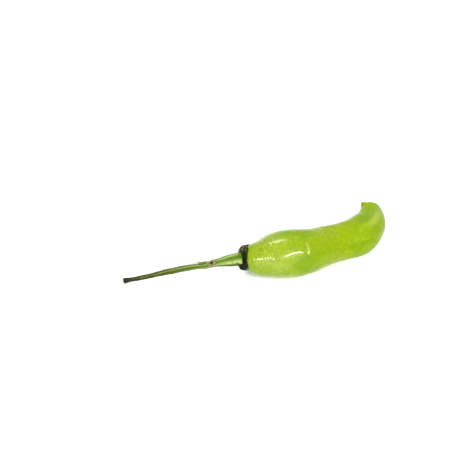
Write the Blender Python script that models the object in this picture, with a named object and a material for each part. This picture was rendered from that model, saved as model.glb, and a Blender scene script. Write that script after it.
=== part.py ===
"""A fresh green chilli pepper, picked with its stem, lying on its side.

Three pieces in one frame: the pod, the calyx that caps its neck, and the stem.
X runs from the stem's cut end towards the pod, the pod's hook curls towards +Y,
and everything rests on Z = 0.
"""

import math

import bmesh
import bpy
import numpy as np

MM = 0.001

# Driving dimensions, in metres.
BODY_RUN = 57.3 * MM           # calyx seat to the middle of the hook's bend, along X
HOOK_RUN = 34.2 * MM           # calyx seat to the tip, sideways, along Y
POD_WIDTH = 21.5 * MM          # thickest part of the belly
NECK_WIDTH = 9.8 * MM          # pod where the calyx grips it
NECK_DOME = 1.4 * MM           # height of the pod's rounded top, under the calyx
TIP_CAP = 4.2 * MM             # length over which the blunt tip closes
TIP_LEAN = 1.6 * MM            # how far the tip's end leans to the inner side of the hook
NUB_HEIGHT = 0.7 * MM          # dried point left at the tip by the flower
SEAT_LIFT = 4.5 * MM           # clear height under the neck
TIP_LIFT = 1.6 * MM            # clear height under the tip
BELLY_FLAT = 0.35 * MM         # how far the soft skin is pressed flat where it rests

CALYX_OVERHANG = 0.6 * MM      # how far it stands out past the pod's neck
CALYX_HEIGHT = 3.3 * MM        # stem side of the calyx to the pod's seat
CALYX_GRIP = 0.7 * MM          # how far its rim reaches down over the pod
TOOTH_HEIGHT = 0.5 * MM        # how far each tooth reaches past the rim

STEM_RUN = 50.0 * MM           # calyx to the cut end, along X
STEM_SWAY = 6.4 * MM           # how far the cut end lies sideways
STEM_BASE_WIDTH = 5.3 * MM
STEM_WIDTH = 2.7 * MM          # thin part, past the knot
CUT_WIDTH = 2.5 * MM           # slightly swollen cut end
KNOT_BULGE = 0.55 * MM         # how far the old scar stands out
SHOOT_WIDTH = 1.3 * MM         # dried side shoot that starts at the knot
SHOOT_LENGTH = 7.5 * MM

SHOOT_SIDE = 140.0             # degrees round the stem; 0 is its outer side, 90 the top
SCAR_SIDE = 60.0

FIT_GAP = 0.3 * MM             # clearance between neighbouring pieces

SHOOT_WAIST = 0.3              # how much it narrows half way along, as a share
SHOOT_LEAVES_BY = 0.35         # share of the shoot by which it lies outside the stem
SHOOT_STANDOFF = 0.15          # its middle line above the stem's skin, as a share of its width

# Skin colours.
FRUIT_GREEN = (0.34, 0.53, 0.02)
CALYX_GREEN = (0.05, 0.08, 0.03)
STEM_GREEN = (0.16, 0.25, 0.04)
WAXY = 0.25                    # roughness
LEAFY = 0.5

# Counts and form.
TIP_BLUNTNESS = 2.6            # 2 would close the tip as an ellipse
LOBE_DEPTH = 0.018             # three soft lobes, as a share of the radius
FLATTENING = 0.022             # oval sections, as a share of the radius
LOBE_ANGLE = math.radians(11.0)
FLAT_ANGLE = math.radians(34.0)
LOBE_TWIST = 1.1               # radians that the lobes turn from the neck to the tip
SEAT_STRETCH = 0.06            # first share of the pod's line, which gives the calyx its axis
LOBES_FROM = 0.15              # share of the length by which they have their full depth
RIB_DEPTH = 0.06               # ribs of the stem's base, as a share of its radius
RIB_FADE = 0.35                # share of the stem over which they fade
KNOT_SPREAD = 0.03             # half-length of the knot, as a share of the stem
TEETH = 5
RIBS = 5
AROUND = 36                    # points round the pod and the calyx
FINE_SAMPLES = 600             # points used to measure the pod's middle line
STEM_AROUND = 18
SHOOT_AROUND = 10
BODY_STATIONS = 54
STEM_STATIONS = 38
SHOOT_STATIONS = 12
CAP_STATIONS = 9

# Pod's middle line seen from above: shares of BODY_RUN and of HOOK_RUN.
PLAN_LINE = (
    (0.00, 0.00), (0.10, -0.005), (0.19, 0.015), (0.285, 0.035), (0.375, 0.055), (0.46, 0.095),
    (0.555, 0.17), (0.66, 0.25), (0.76, 0.315), (0.872, 0.395), (0.958, 0.57),
    (0.995, 0.745), (1.00, 0.87), (0.968, 1.00),
)
# Girth along that line: share of its length, then 0 for the neck's radius and 1 for the belly's.
GIRTH = (
    (0.00, 0.00), (0.03, 0.25), (0.076, 0.53), (0.145, 0.82), (0.213, 0.97), (0.28, 1.00),
    (0.345, 0.92), (0.42, 0.77), (0.506, 0.63), (0.587, 0.60), (0.68, 0.63), (0.78, 0.54),
    (0.86, 0.32), (0.92, 0.12), (1.00, 0.00),
)
# Clear height under the pod: share of its length, then share of SEAT_LIFT or of TIP_LIFT.
LIFT = ((0.00, 1.00), (0.03, 0.73), (0.08, 0.42), (0.15, 0.17), (0.22, 0.05), (0.28, 0.0),
        (0.36, 0.03), (0.43, 0.07), (0.52, 0.10), (0.60, 0.06), (0.67, 0.0), (0.78, 0.0))
TIP_LIFT_START = 0.78
# Hollows and folds of the skin: share of the length, angle round the section in degrees (0 is the
# inner side of the hook, 90 the top), half-length, half-angle in degrees, and depth.
HOLLOWS = (
    (0.78, 72.0, 8.0 * MM, 26.0, 1.2 * MM),
    (0.272, 158.0, 2.8 * MM, 24.0, 0.8 * MM),
    (0.44, 48.0, 3.0 * MM, 36.0, 0.3 * MM),
    (0.33, 330.0, 5.0 * MM, 24.0, 0.8 * MM),
    (0.60, 255.0, 8.0 * MM, 26.0, 0.5 * MM),
)

# Calyx: shares of the neck's radius between which its inside follows the dome.
CALYX_INSIDE = (0.15, 0.97)
CALYX_INSIDE_ROWS = 7
SLANT = 1.35                   # the fit gap measured across, where the pod widens at a slant
RIM_WALL = 0.25 * MM
RIM_ROUNDING = 0.1 * MM
# Outside of the calyx: share of its height, then 0 for the rim's radius and 1 for the stem's.
CALYX_OUTSIDE = ((0.15, 0.0), (0.40, 0.05), (0.62, 0.22), (0.80, 0.48), (0.94, 0.80), (1.0, 1.0))
CALYX_FOOT = (0.75, 0.45, 0.15)

# Stem's line, from its base: shares of STEM_RUN and of STEM_SWAY, then its drop as a share
# of the height between its base and its cut end.
STEM_LINE = (
    (0.00, 0.00, 0.00), (0.075, 0.06, 0.06), (0.145, 0.14, 0.12), (0.225, 0.22, 0.20),
    (0.28, 0.36, 0.26), (0.40, 0.385, 0.38), (0.60, 0.54, 0.60), (0.87, 0.86, 0.89),
    (1.00, 1.00, 1.00),
)
KNOT_AT = 0.235
# Stem's girth: share of the run, then 1 for the base's radius and 0 for the thin part's.
STEM_GIRTH = (
    (0.00, 1.00), (0.075, 0.93), (0.145, 0.52), (0.206, 0.16), (0.28, 0.06), (0.40, 0.05),
    (0.60, -0.03), (0.87, -0.26), (0.96, -0.28), (1.00, -0.12),
)


def smooth(knots, values, at):
    """Cubic curve through the values, with each slope taken from the neighbouring knots."""
    knots = np.asarray(knots, float)
    values = np.asarray(values, float)
    at = np.asarray(at, float)
    slopes = np.gradient(values, knots, axis=0)
    left = np.clip(np.searchsorted(knots, at, side="right") - 1, 0, len(knots) - 2)
    width = knots[left + 1] - knots[left]
    share = (at - knots[left]) / width
    if values.ndim == 2:
        width = width[:, None]
        share = share[:, None]
    rest = 1.0 - share
    return ((1.0 + 2.0 * share) * rest**2 * values[left]
            + share * rest**2 * width * slopes[left]
            + share**2 * (3.0 - 2.0 * share) * values[left + 1]
            - share**2 * rest * width * slopes[left + 1])


def column(table, index):
    """One column of a table of tuples."""
    return np.array([row[index] for row in table])


def evenly_along(line, count):
    """A finely sampled line read again at equal distances; also gives its length."""
    steps = np.linalg.norm(np.diff(line, axis=0), axis=1)
    travelled = np.concatenate([[0.0], np.cumsum(steps)])
    wanted = np.linspace(0.0, travelled[-1], count)
    even = [np.interp(wanted, travelled, line[:, axis]) for axis in range(line.shape[1])]
    return np.stack(even, axis=1), travelled[-1]


def frames_along(line):
    """Tangent, level sideways direction and upward direction at each point of a line."""
    tangent = np.gradient(line, axis=0)
    tangent /= np.linalg.norm(tangent, axis=1)[:, None]
    sideways = np.stack([-tangent[:, 1], tangent[:, 0], np.zeros(len(line))], axis=1)
    sideways /= np.linalg.norm(sideways, axis=1)[:, None]
    upward = np.cross(tangent, sideways)
    return tangent, sideways, upward


def rings_along(centres, sideways, upward, radii, angles):
    """Closed sections, one a station: radii is stations by angles, 0 degrees lies sideways."""
    across = np.cos(angles)[None, :, None] * sideways[:, None, :]
    up = np.sin(angles)[None, :, None] * upward[:, None, :]
    return centres[:, None, :] + radii[:, :, None] * (across + up)


def pod_radius(share, angles):
    """Section radii: the girth curve, three soft lobes that turn slowly, and the hollows."""
    neck = 0.5 * NECK_WIDTH
    belly = 0.5 * POD_WIDTH
    girth = neck + (belly - neck) * smooth(column(GIRTH, 0), column(GIRTH, 1), share)
    swell = np.clip(share / LOBES_FROM, 0.0, 1.0)[:, None]
    turn = angles[None, :] - LOBE_TWIST * share[:, None]
    lobes = (LOBE_DEPTH * np.cos(3.0 * (turn - LOBE_ANGLE))
             - FLATTENING * np.cos(2.0 * (turn - FLAT_ANGLE)))
    radii = girth[:, None] * (1.0 + swell * lobes)
    for place, degrees, half_length, half_angle, depth in HOLLOWS:
        along = (share[:, None] - place) * pod_length() / half_length
        turned = np.angle(np.exp(1j * (angles[None, :] - math.radians(degrees))))
        radii = radii - depth * np.exp(-along**2 - (turned / math.radians(half_angle))**2)
    return radii


def plan_line(count):
    """The pod's middle line seen from above, at equal distances, and its length."""
    knots = np.linspace(0.0, 1.0, len(PLAN_LINE))
    fine = smooth(knots, np.array(PLAN_LINE), np.linspace(0.0, 1.0, FINE_SAMPLES))
    return evenly_along(fine * (BODY_RUN, HOOK_RUN), count)


def pod_length():
    return plan_line(2)[1]


def pod_line(share):
    """Middle line in space: each station stands its own lower radius above its clear height."""
    flat, _ = plan_line(FINE_SAMPLES)
    even = np.linspace(0.0, 1.0, FINE_SAMPLES)
    x = np.interp(share, even, flat[:, 0])
    y = np.interp(share, even, flat[:, 1])
    downward = np.array([1.5 * math.pi])
    lift = SEAT_LIFT * smooth(column(LIFT, 0), column(LIFT, 1), np.minimum(share, TIP_LIFT_START))
    rise = np.clip((share - TIP_LIFT_START) / (1.0 - TIP_LIFT_START), 0.0, 1.0)
    lift = lift + TIP_LIFT * rise**2
    z = pod_radius(share, downward)[:, 0] + lift - BELLY_FLAT
    return np.stack([x, y, z], axis=1)


def round_angles():
    return np.arange(AROUND) * 2.0 * math.pi / AROUND


def seat_frame():
    """Centre of the calyx seat and its three directions."""
    line = pod_line(np.linspace(0.0, SEAT_STRETCH, 7))
    tangent, sideways, upward = frames_along(line)
    return line[0], tangent[0], sideways[0], upward[0]


def dome_height(radius):
    """How far the pod's rounded top stands above its seat at a distance from its middle."""
    flatness = np.clip(radius / (0.5 * NECK_WIDTH), 0.0, 1.0)
    return NECK_DOME * np.sqrt(1.0 - flatness**2)


def pod_rings():
    """Sections of the pod from the top of its dome to its blunt tip."""
    angles = round_angles()
    length = pod_length()
    seat, axis, sideways, upward = seat_frame()

    quarter = np.linspace(0.0, 0.5 * math.pi, CAP_STATIONS + 1)[1:-1]
    dome_radius = 0.5 * NECK_WIDTH * np.sin(quarter)
    dome = rings_along(seat - dome_height(dome_radius)[:, None] * axis,
                       np.tile(sideways, (len(quarter), 1)), np.tile(upward, (len(quarter), 1)),
                       np.tile(dome_radius[:, None], (1, AROUND)), angles)

    body_end = 1.0 - TIP_CAP / length
    body = np.linspace(0.0, body_end, BODY_STATIONS)
    closing = body_end + (1.0 - body_end) * np.sin(quarter)
    share = np.concatenate([body, closing])
    line = pod_line(share)
    tangent, side, up = frames_along(line)
    side[0], up[0] = sideways, upward
    closed = np.concatenate([np.zeros(BODY_STATIONS), np.sin(quarter)])
    shrink = (1.0 - closed**TIP_BLUNTNESS) ** (1.0 / TIP_BLUNTNESS)
    radii = pod_radius(share, angles) * shrink[:, None]
    line = line + TIP_LEAN * closed[:, None] ** 3 * side
    return np.concatenate([dome, rings_along(line, side, up, radii, angles)])


def pod_poles():
    """The middle of the dome and the dried point of the tip."""
    seat, axis, _, _ = seat_frame()
    line = pod_line(np.linspace(0.97, 1.0, 4))
    tangent, sideways, _ = frames_along(line)
    tip = line[-1] + TIP_LEAN * sideways[-1] + NUB_HEIGHT * (tangent[-1] + sideways[-1])
    return seat - NECK_DOME * axis, tip


def press_flat(points):
    """Skin that would pass below the resting plane spreads on it instead."""
    pressed = points.copy()
    pressed[..., 2] = np.maximum(pressed[..., 2], 0.0)
    return pressed


def calyx_rings():
    """Up the inside, which follows the pod at the fit gap, over the toothed rim and down outside."""
    angles = round_angles()
    seat, axis, sideways, upward = seat_frame()
    reach = CALYX_GRIP + TOOTH_HEIGHT * (0.5 + 0.5 * np.cos(TEETH * angles)) ** 2
    rim = 0.5 * NECK_WIDTH + CALYX_OVERHANG
    foot = 0.5 * STEM_BASE_WIDTH

    rows = []
    for part in np.linspace(*CALYX_INSIDE, CALYX_INSIDE_ROWS):
        radius = part * 0.5 * NECK_WIDTH
        height = -dome_height(radius) - FIT_GAP * math.hypot(1.0, part)
        rows.append((np.full(AROUND, radius), np.full(AROUND, height)))
    for part in (0.0, 0.5, 1.0):
        height = reach * part
        skin = pod_radius(height / pod_length(), angles).diagonal()
        rows.append((skin + FIT_GAP * SLANT, height))
    rim_edge = np.maximum(rows[-1][0], rim) + RIM_WALL
    rows.append((rim_edge, reach - RIM_ROUNDING))
    for part, narrowing in CALYX_OUTSIDE:
        radius = rim + (foot - rim) * narrowing
        rows.append((np.full(AROUND, radius), np.full(AROUND, -CALYX_HEIGHT * part)))
    for part in CALYX_FOOT:
        rows.append((np.full(AROUND, foot * part), np.full(AROUND, -CALYX_HEIGHT)))

    around = np.cos(angles)[:, None] * sideways + np.sin(angles)[:, None] * upward
    rings = [seat + radius[:, None] * around + height[:, None] * axis for radius, height in rows]
    inner = seat - (NECK_DOME + FIT_GAP) * axis
    outer = seat - CALYX_HEIGHT * axis
    return np.array(rings), (inner, outer)


def stem_line(share):
    """The stem's middle line: it leaves the calyx along its axis and sinks to its own radius."""
    seat, axis, _, _ = seat_frame()
    base = seat - (CALYX_HEIGHT + FIT_GAP) * axis
    shape = smooth(column(STEM_LINE, 0), np.array(STEM_LINE), share)
    drop = base[2] - 0.5 * CUT_WIDTH
    offset = np.stack([-STEM_RUN * shape[:, 0], -STEM_SWAY * shape[:, 1], -drop * shape[:, 2]],
                      axis=1)
    return base + offset


def stem_radius(share, angles):
    """Section radii of the stem: tapered, ribbed near the base, swollen at the knot."""
    thin = 0.5 * STEM_WIDTH
    base = 0.5 * STEM_BASE_WIDTH
    girth = thin + (base - thin) * smooth(column(STEM_GIRTH, 0), column(STEM_GIRTH, 1), share)
    ribs = RIB_DEPTH * np.exp(-share / RIB_FADE)[:, None] * np.cos(RIBS * angles[None, :])
    knot = KNOT_BULGE * np.exp(-((share - KNOT_AT) / KNOT_SPREAD) ** 2)[:, None]
    scar_side = 0.5 + 0.5 * np.cos(angles[None, :] - math.radians(SCAR_SIDE))
    return girth[:, None] * (1.0 + ribs) + knot * scar_side


def shoot_line(share):
    """The dried side shoot leaves the knot and lies along the upper side of the stem."""
    stem_share = KNOT_AT + share * SHOOT_LENGTH / STEM_RUN
    line = stem_line(stem_share)
    _, sideways, upward = frames_along(line)
    angle = math.radians(SHOOT_SIDE)
    away = math.cos(angle) * sideways + math.sin(angle) * upward
    skin = stem_radius(stem_share, np.array([angle]))[:, 0]
    leaving = np.clip(share / SHOOT_LEAVES_BY, 0.0, 1.0)
    distance = leaving * (skin + SHOOT_STANDOFF * SHOOT_WIDTH * (1.0 + 2.0 * share))
    return line + distance[:, None] * away


def loft(name, rings, ends, colour, roughness):
    """A closed skin: a circle is extruded from section to section and each end is poked."""
    rings = press_flat(rings)
    ends = [press_flat(np.array(end)) for end in ends]
    shape = bmesh.new()
    start = bmesh.ops.create_circle(shape, segments=len(rings[0]), radius=MM)["verts"]
    first = list(start)
    row = first
    for vert, place in zip(row, rings[0]):
        vert.co = place
    for ring in rings[1:]:
        edges = [shape.edges.get((row[i - 1], row[i])) for i in range(len(row))]
        grown = bmesh.ops.extrude_edge_only(shape, edges=edges)["geom"]
        fresh = {item for item in grown if isinstance(item, bmesh.types.BMVert)}
        row = [next(edge.other_vert(vert) for edge in vert.link_edges
                    if edge.other_vert(vert) in fresh) for vert in row]
        for vert, place in zip(row, ring):
            vert.co = place
    for boundary, end in ((first, ends[0]), (row, ends[1])):
        cap = bmesh.ops.contextual_create(shape, geom=boundary)["faces"]
        middle = bmesh.ops.poke(shape, faces=cap)["verts"][0]
        middle.co = end
    bmesh.ops.recalc_face_normals(shape, faces=shape.faces)
    mesh = bpy.data.meshes.new(name)
    shape.to_mesh(mesh)
    shape.free()
    mesh.shade_smooth()
    piece = bpy.data.objects.new(name, mesh)
    bpy.context.collection.objects.link(piece)
    mesh.materials.append(skin_material(name + "_skin", colour, roughness))
    return piece


def skin_material(name, colour, roughness):
    material = bpy.data.materials.new(name)
    material.use_nodes = True
    surface = material.node_tree.nodes["Principled BSDF"]
    surface.inputs["Base Color"].default_value = (*colour, 1.0)
    surface.inputs["Roughness"].default_value = roughness
    surface.inputs["Metallic"].default_value = 0.0
    return material


def make_fruit():
    return loft("fruit", pod_rings(), pod_poles(), FRUIT_GREEN, WAXY)


def make_calyx():
    rings, ends = calyx_rings()
    return loft("calyx", rings, ends, CALYX_GREEN, LEAFY)


def make_stem():
    """The stem, flat on the calyx at its base, with its dried side shoot joined on."""
    _, _, seat_sideways, seat_upward = seat_frame()
    angles = np.arange(STEM_AROUND) * 2.0 * math.pi / STEM_AROUND
    share = np.linspace(0.0, 1.0, STEM_STATIONS)
    line = stem_line(share)
    _, sideways, upward = frames_along(line)
    sideways[0], upward[0] = -seat_sideways, seat_upward
    rings = rings_along(line, sideways, upward, stem_radius(share, angles), angles)
    stem = loft("stem", rings, (line[0], line[-1]), STEM_GREEN, LEAFY)

    angles = np.arange(SHOOT_AROUND) * 2.0 * math.pi / SHOOT_AROUND
    share = np.linspace(0.0, 1.0, SHOOT_STATIONS)
    waist = 1.0 - SHOOT_WAIST * np.sin(math.pi * share)
    thickness = 0.5 * SHOOT_WIDTH * waist
    radii = np.tile(thickness[:, None], (1, SHOOT_AROUND))
    line = shoot_line(share)
    _, sideways, upward = frames_along(line)
    rings = rings_along(line, sideways, upward, radii, angles)
    shoot = loft("side_shoot", rings, (line[0], line[-1]), STEM_GREEN, LEAFY)
    shoot.hide_render = True
    shoot.display_type = "WIRE"
    union = stem.modifiers.new("join_shoot", "BOOLEAN")
    union.operation = "UNION"
    union.object = shoot
    return stem, shoot


def place_on_ground(pieces, helpers):
    """Parent everything to one empty that centres the pepper's own box on the origin."""
    pepper = bpy.data.objects.new("chilli_pepper", None)
    bpy.context.collection.objects.link(pepper)
    corners = np.array([corner for piece in pieces for corner in piece.bound_box])
    middle = 0.5 * (corners.min(axis=0) + corners.max(axis=0))
    pepper.location = (-middle[0], -middle[1], 0.0)
    for piece in (*pieces, *helpers):
        piece.parent = pepper


def build():
    for thing in list(bpy.data.objects):
        bpy.data.objects.remove(thing, do_unlink=True)
    fruit = make_fruit()
    calyx = make_calyx()
    stem, shoot = make_stem()
    place_on_ground((fruit, calyx, stem), (shoot,))


build()
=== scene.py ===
"""The looks of a fresh green chilli pepper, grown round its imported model.

Every piece is a surface on a grid of two parameters: how far along the piece, and the angle
round it. Lengths are in metres. Angles are in radians, and in degrees in the tables and in the
named sizes. The shape is worked out with the calyx seat at the origin of the plan, then carried
onto the frame's own pod.
"""

import math

import bpy
import numpy as np
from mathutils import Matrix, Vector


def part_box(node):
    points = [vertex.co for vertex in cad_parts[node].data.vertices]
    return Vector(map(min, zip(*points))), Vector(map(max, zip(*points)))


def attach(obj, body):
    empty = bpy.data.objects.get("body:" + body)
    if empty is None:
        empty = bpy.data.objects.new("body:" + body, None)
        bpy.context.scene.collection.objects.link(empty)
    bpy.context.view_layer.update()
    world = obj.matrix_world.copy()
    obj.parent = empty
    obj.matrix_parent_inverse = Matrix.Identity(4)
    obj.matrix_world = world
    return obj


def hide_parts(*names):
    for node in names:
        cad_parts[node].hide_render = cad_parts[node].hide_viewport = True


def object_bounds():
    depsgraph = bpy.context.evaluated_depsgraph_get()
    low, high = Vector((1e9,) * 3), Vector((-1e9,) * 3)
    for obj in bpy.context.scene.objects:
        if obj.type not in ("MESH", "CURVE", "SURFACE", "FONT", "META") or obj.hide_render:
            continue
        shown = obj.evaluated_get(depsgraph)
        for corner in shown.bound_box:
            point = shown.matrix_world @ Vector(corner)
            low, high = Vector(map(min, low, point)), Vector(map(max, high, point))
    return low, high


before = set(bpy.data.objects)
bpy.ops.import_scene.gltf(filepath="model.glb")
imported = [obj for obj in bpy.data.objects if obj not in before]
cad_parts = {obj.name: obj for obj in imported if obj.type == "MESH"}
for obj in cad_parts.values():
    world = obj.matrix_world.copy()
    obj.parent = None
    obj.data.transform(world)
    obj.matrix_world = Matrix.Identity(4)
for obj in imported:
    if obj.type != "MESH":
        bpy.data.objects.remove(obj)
cad_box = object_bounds()

MM = 0.001
TURN = 2.0 * math.pi

# ---------------------------------------------------------------- sizes of the pod
BODY_RUN = 57.3 * MM
HOOK_RUN = 34.2 * MM
POD_WIDTH = 21.5 * MM
NECK_WIDTH = 9.8 * MM
NECK_DOME = 1.4 * MM
TIP_CAP = 4.2 * MM
TIP_LEAN = 1.6 * MM
TIP_BLUNTNESS = 2.6
NUB_HEIGHT = 1.015 * MM        # the dried flower point on the tip
NUB_SPREAD = 1.45 * MM
NUB_BLUNTNESS = 2.4
NUB_ASIDE = 1.2 * MM           # its place from the end of the middle line, to the side
NUB_ABOVE = 2.1 * MM           # and up
SEAT_LIFT = 4.5 * MM
TIP_LIFT = 1.6 * MM
TIP_LIFT_START = 0.78
BELLY_FLAT = 0.35 * MM         # how far the soft skin is pressed flat where it rests
POD_LOBES = (0.018, 11.0)      # three slow lobes: share of the radius, and degrees to a peak
POD_OVAL = (0.022, 34.0)       # an oval, narrowest at these degrees
POD_TWIST = 1.1                # how far both turn from neck to tip, in radians
LOBES_GROWN = 0.15             # share of the pod at which both are full

# Waviness of the skin: how high, and the size of its lumps along the pod and round it.
SWELL_HEIGHT, SWELL_SIZE = 0.20 * MM, (9.0 * MM, 6.0 * MM)
DIMPLE_HEIGHT, DIMPLE_SIZE = 0.055 * MM, (2.6 * MM, 2.4 * MM)
WRINKLE_HEIGHT, WRINKLE_SIZE = 0.012 * MM, (1.2 * MM, 2.6 * MM)
STIPPLE_HEIGHT, STIPPLE_SIZE = 0.003 * MM, (0.95 * MM, 0.85 * MM)
WOBBLE_SIZE = (5.0 * MM, 3.0 * MM)
NECK_WRINKLES = 0.045 * MM     # how much higher the wrinkles are at the neck
CRINKLED_SHARE = 0.2           # share of the pod over which that fades
WAXY_STIPPLE = 0.018 * MM      # how much higher the stipple is where the skin is waxy
RIPPLE_STEP = 1.15 * MM        # from one ripple to the next
RIPPLE_WOBBLE = 3.0            # how unevenly they lie
# Ripple crests are painted paler: a painted highlight.
RIPPLE_CREST_HIGHLIGHT = 5.0              # how much paler their crests are
PLEATS = 10                    # under the calyx
PLEAT_HEIGHT = 0.10 * MM
PLEAT_FADE = 3.0 * MM
PUCKERS = 6                    # in a ring round the tip
PUCKER_HEIGHT = 0.06 * MM
PUCKER_RING = 2.0 * MM
PUCKER_SPREAD = 1.0 * MM
NECK_CALM = 2.0 * MM           # the waviness grows over this length from the neck
TIP_CALM = 3.0 * MM            # and fades over this one at the tip
SEEN_RADIUS = 8.0 * MM         # radius of the roll on which the skin's noise is read
NECK_RIM = 2.1 * MM            # how far the brown dots of the neck reach
NUB_STAIN = 1.6 * MM           # and the brown of the nub

# Middle line seen from above: shares of BODY_RUN and of HOOK_RUN.
PLAN_LINE = (
    (0.00, 0.00), (0.10, -0.005), (0.19, 0.015), (0.285, 0.035), (0.375, 0.055), (0.46, 0.095),
    (0.555, 0.17), (0.66, 0.25), (0.76, 0.315), (0.872, 0.395), (0.958, 0.57),
    (0.995, 0.745), (1.00, 0.87), (0.968, 1.00),
)
# Share of the length, then 0 for the neck's radius and 1 for the belly's.
GIRTH = (
    (0.00, 0.00), (0.03, 0.25), (0.076, 0.53), (0.145, 0.82), (0.213, 0.97), (0.28, 1.00),
    (0.345, 0.92), (0.42, 0.77), (0.506, 0.63), (0.587, 0.60), (0.68, 0.63), (0.78, 0.54),
    (0.86, 0.32), (0.92, 0.12), (1.00, 0.00),
)
# Share of the length, then the clear height under the pod as a share of SEAT_LIFT.
LIFT = ((0.00, 1.00), (0.03, 0.73), (0.08, 0.42), (0.15, 0.17), (0.22, 0.05), (0.28, 0.0),
        (0.36, 0.03), (0.43, 0.07), (0.52, 0.10), (0.60, 0.06), (0.67, 0.0), (0.78, 0.0))

# The next tables are bells on the pod, with lengths in millimetres: share of the pod's length,
# degrees round the section (0 the inner side of the hook, 90 the top, 180 the outer side),
# half-length, half-angle, and then what each table says.
# Hollows of the flesh: depth.
HOLLOWS = (
    (0.78, 72.0, 8.0, 26.0, 1.2),
    (0.285, 158.0, 2.8, 24.0, 0.9),
    (0.44, 48.0, 3.0, 36.0, 0.3),
    (0.33, 330.0, 5.0, 24.0, 0.8),
    (0.60, 255.0, 8.0, 26.0, 0.5),
)
# Folds of the skin: degrees that the fold climbs in each millimetre along the pod, and height,
# below 0 for a crease.
FOLDS = (
    (0.207, 135.0, 3.6, 15.0, -1.5, 0.50),
    (0.286, 131.0, 3.6, 14.0, 1.5, 0.48),
    (0.236, 160.0, 1.1, 22.0, 0.0, 0.45),
    (0.150, 156.0, 5.0, 30.0, 0.0, 0.30),
    (0.312, 120.0, 0.55, 13.0, 7.0, -0.32),
    (0.327, 120.0, 0.60, 15.0, 7.0, 0.27),
    (0.09, 40.0, 4.0, 45.0, 0.0, -0.45),
    (0.160, 90.0, 2.4, 11.0, 0.0, 0.26),
    (0.148, 88.0, 0.34, 9.0, 9.0, -0.13),
    (0.166, 90.0, 0.34, 8.0, 7.0, -0.13),
    (0.186, 91.0, 0.40, 8.0, 9.0, -0.12),
    (0.62, 88.0, 5.0, 6.5, 3.8, 0.36),
    (0.77, 107.0, 6.0, 9.0, 0.3, 0.55),
    (0.80, 186.0, 5.5, 34.0, 0.0, -0.60),
    (0.92, 38.0, 3.6, 34.0, 0.0, 0.50),
    (0.985, 5.0, 3.0, 38.0, 0.0, -0.90),
    (0.975, 132.0, 3.0, 34.0, 0.0, -0.60),
    (0.935, 176.0, 4.5, 40.0, 0.0, -1.10),
    (0.50, 345.0, 4.0, 12.0, 2.0, 0.28),
    (0.22, 20.0, 3.5, 11.0, -2.0, 0.24),
    (0.27, 10.0, 1.0, 20.0, 3.0, -0.20),
    (0.58, 30.0, 0.8, 14.0, 5.0, -0.14),
)
# Patches of painted highlight, painted reflection and painted shade, and some of the skin's own
# tone: strength, above 0 for paler.
PAINTED_LIGHT_AND_TONES = (
    (0.185, 154.0, 4.6, 26.0, 0.60),
    (0.262, 150.0, 2.2, 12.0, 0.60),
    (0.100, 138.0, 4.0, 10.0, 0.75),
    (0.305, 157.0, 2.9, 20.0, -2.20),
    (0.200, 100.0, 6.0, 16.0, 0.35),
    (0.225, 134.0, 3.0, 5.0, 0.80),
    (0.275, 131.0, 3.2, 5.0, 1.00),
    (0.323, 118.0, 0.48, 12.0, 1.00),
    (0.775, 79.0, 5.0, 18.0, -0.95),
    (0.785, 111.0, 5.0, 11.0, 1.25),
    (0.48, 190.0, 12.0, 22.0, 0.55),
    (0.44, 80.0, 6.0, 30.0, 0.50),
    (0.93, 100.0, 5.0, 60.0, -0.25),
)
# Stretches where pale specks show, partly the skin's own and partly painted glints where the
# highlights fall: strength.
SPECKS_AND_PAINTED_GLINTS = (
    (0.120, 92.0, 6.0, 30.0, 1.00),
    (0.095, 138.0, 5.0, 20.0, 1.00),
    (0.250, 130.0, 5.0, 12.0, 0.60),
)
# Stretches where the skin lies in fine ripples: height.
RIPPLED = (
    (0.105, 141.0, 5.5, 20.0, 0.040),
    (0.140, 155.0, 5.0, 24.0, 0.022),
)
# Stretches where the skin is waxier: strength.
WAXY = (
    (0.250, 132.0, 7.0, 14.0, 1.00),
    (0.105, 141.0, 6.0, 16.0, 0.95),
    (0.152, 76.0, 5.0, 20.0, 0.80),
)
NECK_WAX = 0.2                 # how waxy the whole neck is, and over what share it fades
NECK_WAX_SHARE = 0.45

# ---------------------------------------------------------------- sizes of the calyx and the stem
CALYX_HEIGHT = 3.3 * MM
CALYX_LIP = 0.20 * MM
CALYX_INSIDE = 0.5 * NECK_WIDTH - 0.25 * MM    # radius of its inside at the pod's seat
CALYX_BITE = 0.10 * MM         # how far its lip sinks into the pod's skin
CALYX_GRIP = 0.7 * MM          # how far its margin reaches down the pod
MARGIN_RAGGED = 0.32 * MM
SHORT_SIDE = (226.0, 40.0)     # where its margin reaches less far: degrees and half-angle
SHORT_BY = 1.05 * MM
TOOTH_HEIGHT = 0.5 * MM
TOOTH_SPREAD = 15.0
TEETH = 5
KNOB_SIDE = 78.0               # a brown knob on the margin
KNOB_SPREAD = 17.0
KNOB_ROLL = 0.5 * MM           # how far the knob rolls outward
LOBE_SIDES = ((52.0, 36.0), (208.0, 34.0), (310.0, 30.0))    # lobes: degrees and half-angle
LOBE_DROOP = 0.35 * MM
FLUTE_DEPTH = 0.10 * MM
FOOT_GREEN = 1.15 * MM         # how wide the stem's green is on the calyx's foot
STEM_RUN = 50.0 * MM
STEM_SWAY = 6.4 * MM
STEM_BASE_WIDTH = 5.3 * MM
STEM_WIDTH = 2.7 * MM
CUT_WIDTH = 2.5 * MM
KNOT_BULGE = 0.55 * MM
KNOT_AT = 0.235
KNOT_SPREAD = 0.03
SCAR_SIDE = 60.0
SCAR_LENGTH = 1.7 * MM
SCAR_WIDTH = 1.1 * MM
SCAR_RIM = 0.20 * MM
SCAR_PIT = 0.36 * MM
SCAR_RADIUS = 1.9 * MM         # the stem's radius there, to measure round it
SHOOT_WIDTH = 1.3 * MM
SHOOT_LENGTH = 8.2 * MM
SHOOT_SIDE = 136.0
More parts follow.
